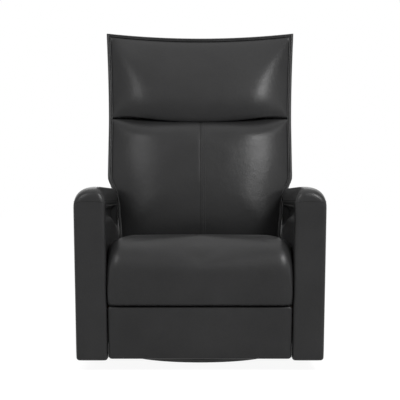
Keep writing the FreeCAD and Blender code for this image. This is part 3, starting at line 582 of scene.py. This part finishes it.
def lumbar_front(u, v):
    x, h = back_spot(u, v, RIM, LUMBAR_LOW, LUMBAR_HIGH)
    roll = LUMBAR_ROLL + LUMBAR_ROLL_SIDE * min(1.0, abs(x / BELLY_HALF) ** 3)
    half = LUMBAR_HALF + LUMBAR_WIDEN * ease((h - WIDEN_LOW) / WIDEN_SPAN)
    dome = swell((half - abs(x)) / LUMBAR_SIDE, (LUMBAR_HIGH - h) / roll,
                 max(0.0, h - LUMBAR_FOOT) / LUMBAR_UNDER)
    valley = VALLEY * math.exp(-((x - SEAM_X) / VALLEY_HALF) ** 2) * dome
    return back_at(x * flap(h), PAD_EDGE - LUMBAR_DEPTH * dome + valley, h)


def lumbar_ring(t, inset):
    def ring(u, v):
        x, h = back_spot(u, v, RIM + inset, LUMBAR_LOW, LUMBAR_HIGH)
        return back_at(x * flap(h), t, h + max(0.0, t - 0.01) * FLAP_SLOPE * (1 - v))
    return ring


def back_held(p):
    tucked = p.y < TUCK_REAR and p.z < TUCK_TOP
    return tucked or back_depth_of(p) > 0.001


def back_pad(name, node, places, front, ring):
    rings = [ring(t, inset) for t, inset in PAD_RINGS]
    pad = make(name, *cushion(places, ups, front, rings, ring(*PAD_REAR)))
    puff(pad, back_held, pressure=0.9, cap=0.007)
    cover(pad, "back", node)
    return pad


back_pad("headrest_pillow", "headrest_cushion", us, head_front, head_ring)
lumbar = back_pad("lumbar_pillow", "lumbar_cushion", seam_us, lumbar_front, lumbar_ring)


# Outer back with its rim

SHELL_LOW, HEM, HEM_START, HEM_SPAN = -0.016, 0.044, 0.118, 0.012
SHELL_WAIST = 0.0085
SHELL_FLOOR, SHELL_REAR, SHELL_BULGE = (0.050, 0.0125), (0.140, 0.014), 0.004
SHELL_RIM = [(0.010, 0.0118), (0.000, 0.0115), (-0.0045, 0.0095), (-0.006, 0.0055), (-0.0035, 0.0015),
             (0.002, 0.0), (0.010, 0.0), (0.045, 0.0), (0.090, 0.0), (0.116, 0.0), (0.126, 0.001),
             (0.1345, 0.004), (0.139, 0.0085)]


def shell_spot(u, v, inset, t):
    low = SHELL_LOW - HEM * ease((t - HEM_START) / HEM_SPAN)
    x, h = back_spot(u, v, inset, low)
    waist = ease(h / WAIST_SPAN) * ease((RIM_CUT_TOP - h) / 0.08)
    behind = SHELL_WAIST * ease((t - 0.006) / 0.02) * waist
    return back_at(x - u * behind, t, h)


def shell_ring(t, inset):
    return lambda u, v: shell_spot(u, v, inset, t)


def shell_rear(u, v):
    depth, inset = SHELL_REAR
    bulge = SHELL_BULGE * rounded(u, 3, 0.8) * rounded(2 * v - 1, 3, 0.8)
    return shell_spot(u, v, inset, depth + bulge)


def rim_line(inset, t, low=0.0):
    """Line round the sides and top of the back, inside its outline."""
    steps = 60
    heights = [low + (1 - low) * i / steps for i in range(steps + 1)]
    left = [shell_spot(-1, v, inset, t) for v in heights]
    across = [shell_spot(u, 1, inset, t) for u in us[1:-1]]
    right = [shell_spot(1, v, inset, t) for v in reversed(heights)]
    return left + across + right


shell_rings = [shell_ring(t, inset) for t, inset in SHELL_RIM + [SHELL_REAR]]
shell = make("outer_back", *cushion(us, ups, shell_ring(*SHELL_FLOOR), shell_rings, shell_rear))
cover(shell, "back", "back_shell")
trim("back_welt", [rim_line(inset=0.0122, t=-0.0035)], 0.0024, WELT, "back")
trim("back_rim_seam", [rim_line(inset=0.0006, t=0.0035)], 0.0011, SEAM, "back")
trim("outer_back_seam", [rim_line(inset=0.0025, t=0.132, low=0.05)], 0.0013, SEAM, "back")


# Centre seam of the lumbar cushion, with two rows of stitches beside it

SEAM_LOW, SEAM_LENGTH, BEFORE_PAD = -0.03, 0.44, -0.05
STITCH, STITCH_GAP, STITCH_RADIUS = 0.0042, 0.0016, 0.00055
lumbar_skin = surface(lumbar)


def lumbar_line(x, steps, lift):
    line = [back_at(x, BEFORE_PAD, SEAM_LOW + SEAM_LENGTH * i / steps) for i in range(steps + 1)]
    return laid(lumbar_skin, line, FORWARD, lift)


trim("lumbar_seam", [lumbar_line(SEAM_X, 60, -0.0002)], 0.0010, SEAM, "back")
for row, beside in enumerate((0.0095, 0.0170), 1):
    stitches = stitch_runs(lumbar_line(SEAM_X + beside, 90, 0.0002), STITCH, STITCH_GAP)
    trim("lumbar_topstitch_%d" % row, stitches, STITCH_RADIUS, THREAD, "back", sides=2)


# Inner face of the arms, which the seat, the footrest and the rear panel follow

INNER_TOP, INNER_LEAN, INNER_TOP_Z, INNER_HEIGHT = 0.292, 0.0095, 0.516, 0.484


def arm_inner(z):
    return INNER_TOP - INNER_LEAN * (INNER_TOP_Z - z) / INNER_HEIGHT


# Seat cushion

SEAT_HALF, SEAT_FRONT, SEAT_REAR = 0.2872, -0.457, 0.1125
SEAT_TOP, SEAT_DROP, SEAT_BASE = 0.408, 0.2005, 0.304
SEAT_ROLL, SEAT_RISE, SEAT_LIP, SEAT_TUCK, SEAT_FALL = 0.098, 0.108, 0.014, 0.024, 0.013
SEAT_WALL, SEAT_FOOT, SEAT_GAP = 0.052, 0.028, 0.0016
CORNER, CORNER_FALL, CORNER_BACK = 0.042, 0.034, 0.016
CROWN, CROWN_SINK = 0.0035, 0.0015
SEAT_MIDDLE_Z, LIP_HELD, UNDERSIDE_HELD = 0.352, 0.215, 0.315


def seat_half(z):
    return min(SEAT_HALF, arm_inner(z) - SEAT_GAP)


def seat_profile(fall, off):
    """Side view of the seat pad, its front on the left, clockwise from its rear foot."""
    top = SEAT_TOP - fall
    face = SEAT_FRONT + off
    inside = SEAT_FRONT + SEAT_WALL
    foot = SEAT_REAR - SEAT_FOOT
    lip_top, rear_top = SEAT_DROP + SEAT_LIP, top - SEAT_FALL
    line = [(SEAT_REAR, SEAT_BASE + 0.040), (foot, SEAT_BASE + 0.030)]
    line += [(foot + (inside - foot) * i / 8, SEAT_BASE) for i in range(8)]
    line += [(inside, z) for z in (SEAT_BASE, 0.270, 0.235, SEAT_DROP + 0.006)]
    line += [(inside - 0.006, SEAT_DROP), (inside - 0.022, SEAT_DROP)]
    line += arc(face + SEAT_LIP, lip_top, SEAT_LIP, SEAT_LIP, 270, 180, 4)
    line += [(face - 0.25 * off, lip_top + (top - SEAT_RISE - lip_top) * i / 6) for i in range(1, 6)]
    line += arc(face + SEAT_ROLL, top - SEAT_RISE, SEAT_ROLL, SEAT_RISE, 180, 90, 10)
    span = SEAT_REAR - SEAT_TUCK - face - SEAT_ROLL
    line += [(face + SEAT_ROLL + span * i / 20, top - SEAT_FALL * i / 20) for i in range(1, 20)]
    line += arc(SEAT_REAR - SEAT_TUCK, rear_top - SEAT_TUCK, SEAT_TUCK, SEAT_TUCK, 90, 0, 5)
    return line


def seat_sections():
    """Profiles across the seat, lower and further back where its sides round off."""
    rings = []
    for s in packed(45, 0.8):
        d = max(0.0, CORNER - SEAT_HALF * (1 - abs(s))) / CORNER
        curl = 1 - math.sqrt(1 - d * d)
        crown = CROWN * (1 - s * s) - CROWN_SINK
        profile = seat_profile(CORNER_FALL * curl - crown, CORNER_BACK * curl)
        rings.append([Vector((s * seat_half(z), y, z)) for y, z in profile])
    return rings


def seat_middle(p):
    """Line inside the L of the seat pad."""
    y = min(max(p.y, SEAT_FRONT + 0.03), SEAT_REAR - 0.05)
    in_drop = p.y <= SEAT_FRONT + 0.055
    z = min(max(p.z, SEAT_DROP + 0.03), SEAT_MIDDLE_Z) if in_drop else SEAT_MIDDLE_Z
    return Vector((p.x, y, z))


def seat_held(p):
    """The lip, the rear edge, the underside and the sides stay in place."""
    below = p.y > SEAT_FRONT + 0.045 and p.z < UNDERSIDE_HELD
    beside = abs(p.x) > seat_half(p.z) - 0.0005
    return p.z < LIP_HELD or p.y > SEAT_REAR - 0.03 or below or beside


seat = make("seat_pad", *loft(seat_sections(), seat_middle))
puff(seat, seat_held, pressure=0.8, cap=0.008)
cover(seat, "seat", "seat_cushion")


# Footrest pad; its rings are given as distance before its back, and inset

REST_LOW, REST_TOP, REST_BACK = 0.0370, 0.1992, -0.403
REST_GAP, REST_ROUND = 0.0017, 0.009
REST_FACE, REST_BULGE = (0.0405, 0.0045), 0.0055
REST_RINGS = ((0.0385, 0.0015), (0.0355, 0.0), (0.020, 0.0), (0.006, 0.0), (0.001, 0.001), (0.0, 0.004))
REST_HELD = REST_BACK - 0.0415


def rest_spot(u, v, inset, y):
    """Place on a section of the footrest, with rounded corners."""
    low, high = REST_LOW + inset * 0.8, REST_TOP - inset * 0.8
    z = low + v * (high - low)
    half = arm_inner(z) - REST_GAP - inset
    x = u * half
    over_x, over_z = REST_ROUND - half + abs(x), REST_ROUND - min(z - low, high - z)
    if over_x > 0 and over_z > 0:
        pull = 1 - max(over_x, over_z) / math.hypot(over_x, over_z)
        up = 1 if z - low < high - z else -1
        x -= math.copysign(over_x * pull, x)
        z += over_z * pull * up
    return Vector((x, y, z))


def rest_ring(before, inset):
    return lambda u, v: rest_spot(u, v, inset, REST_BACK - before)


def rest_front(u, v):
    p = rest_ring(*REST_FACE)(u, v)
    p.y -= REST_BULGE * rounded(u, 6, 0.5) * rounded(2 * v - 1, 3.5, 0.5)
    return p


rest_rings = [rest_ring(before, inset) for before, inset in REST_RINGS]
footrest = make("footrest_pad", *cushion(packed(57, 0.7), rows(25, 0.7), rest_front, rest_rings,
                                         rest_rings[-1]))
puff(footrest, lambda p: p.y > REST_HELD, pressure=1.2, cap=0.005, grow=0.001)
cover(footrest, "footrest", "footrest_cushion")


# Arms

ARM_FRONT, ARM_END, ARM_LOW, ARM_CREST = -0.450, 0.320, 0.032, 0.5675
ARM_WIDTH, ARM_EDGE = 0.098, 0.010
CREST_RISE, CREST_IN, CREST_BEND = 0.0515, 0.032, 0.88
NOSE, NOSE_DROP, END_ROUND = 0.070, 0.026, 0.013
ROLL_START, ROLL_SPAN, ROLL_DROP = 0.140, 0.166, 0.087
FOOT_SPAN, FOOT_RISE = 0.095, 0.036
SHELF, SHELF_FALL, SHELF_START, SHELF_SPAN = 0.474, 0.030, -0.15, 0.25
RECESS, RECESS_START, RECESS_END = 0.026, 0.030, 0.16
APART, APART_START, APART_END, APART_SPAN, APART_LOW = 0.004, 0.10, 0.29, 0.03, 0.38
ARM_SEAM, ARM_SEAM_START, ARM_SEAM_LENGTH = 0.0011, -0.440, 0.74
OUTSIDE_SEAM, INSIDE_SEAM, INSIDE_SEAM_END, FRONT_SEAM = 0.047, 0.043, 0.08, 0.5215
WINDOW_FRONT, WINDOW_REAR, WINDOW_LOW, WINDOW_TOP = -0.309, -0.1882, 0.2452, 0.3443
WINDOW_X = -0.37
OUTER_SHARES = (0.06, 0.14, 0.24, 0.34, 0.4287, 0.47, 0.54, 0.60, 0.6378, 0.70, 0.78, 0.86, 0.93)
INNER_SHARES = (0.99, 0.975, 0.955, 0.935, 0.92, 0.905, 0.89, 0.87, 0.85, 0.83, 0.81, 0.79, 0.76, 0.72,
                0.66, 0.58, 0.48, 0.36, 0.24, 0.12, 0.0)
NOSE_STEPS = (0, 0.0007, 0.0024, 0.005, 0.0085, 0.013, 0.018, 0.024, 0.030, 0.036, 0.041, 0.047, 0.056,
              0.07, 0.09, 0.12)
ARM_YS = [ARM_FRONT + step for step in NOSE_STEPS]
ARM_YS += [WINDOW_FRONT, -0.28, -0.25, -0.215, WINDOW_REAR, -0.15, -0.10, -0.07, -0.04, -0.01, 0.02,
           0.05, 0.08, 0.10, 0.115, 0.13, 0.145, 0.16, 0.175, 0.20, 0.22, 0.24, 0.26, 0.28, 0.295,
           0.306, 0.311, 0.315, 0.3178, 0.3194, ARM_END]


def arm_crest(y):
    """Height of the crest, which rolls down behind the back."""
    return ARM_CREST - ROLL_DROP * clamp((y - ROLL_START) / ROLL_SPAN) ** 2


def arm_ring(y, sign, inset, crest, low, recess):
    """Cross-section of an arm, from its inner foot round to its inner face."""
    side, top, base = crest - CREST_RISE, crest - inset, low + inset
    wall_low = base + ARM_EDGE
    apart = APART * ease((y - APART_START) / APART_SPAN) * ease((APART_END - y) / APART_SPAN)

    def inner(z):
        return arm_inner(z) + inset + apart * ease((z - APART_LOW) / 0.05)

    def outer(z):
        return arm_inner(z) + ARM_WIDTH - inset

    flat = ARM_WIDTH - 2 * inset - 2 * ARM_EDGE
    line = [(inner(base) + ARM_EDGE + flat * i / 4, base) for i in range(5)]
    for i in range(1, 5):
        a = math.radians(22.5 * i)
        line.append((outer(base) - ARM_EDGE + ARM_EDGE * math.sin(a), wall_low - ARM_EDGE * math.cos(a)))
    for share in OUTER_SHARES:
        z = wall_low + share * (side - wall_low)
        line.append((outer(z), z))
    ridge = inner(side) + CREST_IN
    for i in range(13):
        a = math.radians(90 * i / 12)
        line.append((ridge + (outer(side) - ridge) * math.cos(a) ** CREST_BEND,
                     side + (top - side) * math.sin(a) ** CREST_BEND))
    bend = 0.9 - 0.35 * ease((y - ARM_FRONT - 0.01) / 0.10)
    for i in range(1, 11):
        a = math.radians(90 + 90 * i / 10)
        line.append((ridge - (ridge - inner(side)) * abs(math.cos(a)) ** bend,
                     side + (top - side) * math.sin(a) ** bend))
    shelf = SHELF - SHELF_FALL * ease((y - SHELF_START) / SHELF_SPAN)
    for share in INNER_SHARES:
        z = wall_low + share * (side - wall_low)
        depth = RECESS * ease((z - shelf + 0.014) / 0.026) * ease((side - z - 0.002) / 0.014)
        line.append((inner(z) + recess * depth, z))
    for i in range(1, 4):
        a = math.radians(22.5 * i)
        line.append((inner(base) + ARM_EDGE - ARM_EDGE * math.cos(a), wall_low - ARM_EDGE * math.sin(a)))
    return [Vector((sign * x, y, z)) for x, z in line]


def arm_station(y, sign):
    """Cross-section of an arm at y, with its rounded ends, nose, raised rear foot and recess."""
    into = y - ARM_FRONT
    drop = NOSE_DROP * (1 - math.sqrt(1 - clamp((NOSE - into) / NOSE) ** 2))
    short = max(0.0, END_ROUND - min(into, ARM_END - y))
    inset = END_ROUND - math.sqrt(END_ROUND ** 2 - short ** 2)
    rise = FOOT_RISE * clamp((y - ROLL_START) / FOOT_SPAN)
    recess = ease((into - RECESS_START) / 0.016) * ease((RECESS_END - y) / 0.05)
    return arm_ring(y, sign, inset, arm_crest(y) - drop, ARM_LOW + rise, recess)


def in_window(verts, face):
    """Whether a face covers the recess of the release handle."""
    mid = sum((verts[i] for i in face), Vector()) / len(face)
    return (WINDOW_FRONT < mid.y < WINDOW_REAR and WINDOW_LOW < mid.z < WINDOW_TOP
            and mid.x < WINDOW_X)


def arm_seams(name, arm, sign):
    """Seams of the crest: across the front, along the outside and along the inside."""
    skin, sunk = surface(arm), -0.0003
    ys = [ARM_SEAM_START + ARM_SEAM_LENGTH * i / 60 for i in range(61)]
    across = [(sign * (0.294 + 0.0895 * i / 24), -0.52, FRONT_SEAM - 0.006 * (2 * i / 24 - 1) ** 4)
              for i in range(25)]
    outside = [(sign * 0.46, y, arm_crest(y) - OUTSIDE_SEAM) for y in ys]
    inside = [(sign * 0.20, y, arm_crest(y) - INSIDE_SEAM) for y in ys if y < INSIDE_SEAM_END]
    lines = [laid(skin, across, Vector((0, 1, 0)), sunk),
             laid(skin, outside, Vector((-sign, 0, 0)), sunk),
             laid(skin, inside, Vector((sign, 0, 0)), sunk)]
    trim(name + "_seams", lines, ARM_SEAM, SEAM, "chair_frame")


for name, node, sign in (("arm_cover_left", "arm_left", 1), ("arm_cover_right", "arm_right", -1)):
    verts, faces = barrel([arm_station(y, sign) for y in ARM_YS])
    arm = make(name, verts, [face for face in faces if not in_window(verts, face)])
    cover(arm, "chair_frame", node)
    arm_seams(name, arm, sign)


# Rear panel below the outer back; its rings are given as y and inset

PANEL_LOW, PANEL_HEIGHT, PANEL_GAP = 0.068, 0.2357, 0.0006
PANEL_FRONT, PANEL_REAR = (0.2815, 0.003), (0.306, 0.004)
PANEL_RINGS = ((0.285, 0.0005), (0.295, 0.0), (0.302, 0.001), (0.3052, 0.004))


def panel_ring(y, inset):
    def ring(u, v):
        z = PANEL_LOW + inset + v * (PANEL_HEIGHT - 2 * inset)
        return Vector((u * (arm_inner(z) - PANEL_GAP - inset), y, z))
    return ring


panel_rings = [panel_ring(y, inset) for y, inset in PANEL_RINGS]
rear_cover = make("rear_cover", *cushion(packed(29, 0.7), rows(15, 0.7), panel_ring(*PANEL_FRONT),
                                         panel_rings, panel_ring(*PANEL_REAR)))
cover(rear_cover, "chair_frame", "rear_panel")


# Coil springs between platform and frame

COIL_LOW, COIL_HIGH, COIL_X, COIL_Y = 0.0623, 0.1363, 0.215, 0.036
COIL_RADIUS, COIL_TURNS, COIL_STEPS, COIL_CLOSED = 0.017, 4.5, 144, 0.06
WIRE_RADIUS, WIRE_SEAT = 0.0025, 0.0026


def coil(x, y):
    """Line of a spring's wire, with closed ends."""
    line = []
    for i in range(COIL_STEPS + 1):
        s = i / COIL_STEPS
        a = 2 * math.pi * COIL_TURNS * s
        climb = clamp((s - COIL_CLOSED) / (1 - 2 * COIL_CLOSED))
        z = COIL_LOW + WIRE_SEAT + (COIL_HIGH - COIL_LOW - 2 * WIRE_SEAT) * climb
        line.append((x + COIL_RADIUS * math.cos(a), y + COIL_RADIUS * math.sin(a), z))
    return line


coils = [coil(x, y) for x in (-COIL_X, COIL_X) for y in (-COIL_Y, COIL_Y)]
springs = tube("coil_springs", coils, WIRE_RADIUS, finishes["spring_steel"])
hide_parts("rocker_springs")
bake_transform(springs)


# Camera

cam_data = bpy.data.cameras.new("camera")
cam_data.lens = 105.75
cam_data.sensor_width = 36.0
cam = bpy.data.objects.new("camera", cam_data)
cam.location = (0.0, -4.05, 0.5257)
cam.rotation_euler = (math.radians(90), 0, 0)
scene.collection.objects.link(cam)
scene.camera = cam


# Light

def softbox(name, at, aim, width, height, power):
    data = bpy.data.lights.new(name, "AREA")
    data.shape = "RECTANGLE"
    data.size, data.size_y = width, height
    data.energy = power
    lamp = bpy.data.objects.new(name, data)
    lamp.location = at
    lamp.rotation_euler = (Vector(aim) - Vector(at)).to_track_quat("-Z", "Y").to_euler()
    scene.collection.objects.link(lamp)


softbox("key_right", (1.75, -2.5, 2.75), (0, 0.1, 0.75), 0.8, 1.1, 100)
softbox("key_left", (-1.75, -2.5, 2.75), (0, 0.1, 0.75), 0.8, 1.1, 36)
softbox("side_right", (2.6, -1.4, 1.3), (0, 0.1, 0.6), 1.2, 1.6, 7)
softbox("side_left", (-2.6, -1.4, 1.3), (0, 0.1, 0.6), 1.2, 1.6, 3)
softbox("front", (0, -3.4, 3.4), (0, 0, 0.6), 3.0, 2.0, 5)
softbox("top", (0, -0.3, 3.2), (0, 0, 0.5), 2.4, 2.4, 19)
softbox("rear", (0, 3.2, 2.2), (0, 0, 0.6), 2.4, 1.6, 14)


# White background, with a pale floor that keeps the shadow

def seen(tree):
    """1 for rays that show the background, straight or in a reflection, else 0."""
    rays = tree.nodes.new("ShaderNodeLightPath")
    whole = None
    for name in ("Is Camera Ray", "Is Glossy Ray", "Is Transmission Ray"):
        node = tree.nodes.new("ShaderNodeMath")
        node.operation = "MAXIMUM"
        node.inputs[1].default_value = 0.0
        link(tree, rays, name, node, 0)
        if whole is not None:
            link(tree, whole, "Value", node, 1)
        whole = node
    return whole


def either(tree, choice, a, a_out, b, b_out, output):
    """Shader b where the choice is 1, shader a where it is 0."""
    pick = tree.nodes.new("ShaderNodeMixShader")
    link(tree, choice, "Value", pick, "Fac")
    link(tree, a, a_out, pick, 1)
    link(tree, b, b_out, pick, 2)
    link(tree, pick, "Shader", tree.nodes[output], "Surface")


world = bpy.data.worlds.new("studio")
world.use_nodes = True
scene.world = world
sky = world.node_tree
ambient = sky.nodes["Background"]
ambient.inputs["Color"].default_value = (1, 1, 1, 1)
ambient.inputs["Strength"].default_value = 0.6
white = sky.nodes.new("ShaderNodeBackground")
white.inputs["Color"].default_value = (1, 1, 1, 1)
white.inputs["Strength"].default_value = 1.0
either(sky, seen(sky), ambient, "Background", white, "Background", "World Output")

FLOOR_HALF = 30
corners = [(-1, -1), (1, -1), (1, 1), (-1, 1)]
floor_mesh = bpy.data.meshes.new("floor")
floor_mesh.from_pydata([(FLOOR_HALF * x, FLOOR_HALF * y, 0) for x, y in corners], [], [(0, 1, 2, 3)])
floor = bpy.data.objects.new("floor", floor_mesh)
scene.collection.objects.link(floor)
pale, ground, shader = new_material("floor_pale")
speck = noise(ground, coords(ground), scale=3.0)
tint(ground, shader, speck, "Fac", [(0.3, grey(0.86)), (0.7, grey(0.88))])
shader.inputs["Roughness"].default_value = 0.9
glow = ground.nodes.new("ShaderNodeEmission")
glow.inputs["Strength"].default_value = 1.08
share = ground.nodes.new("ShaderNodeMath")
share.operation = "MULTIPLY"
share.inputs[1].default_value = 0.86
link(ground, seen(ground), "Value", share, 0)
either(ground, share, shader, "BSDF", glow, "Emission", "Material Output")
floor_mesh.materials.append(pale)
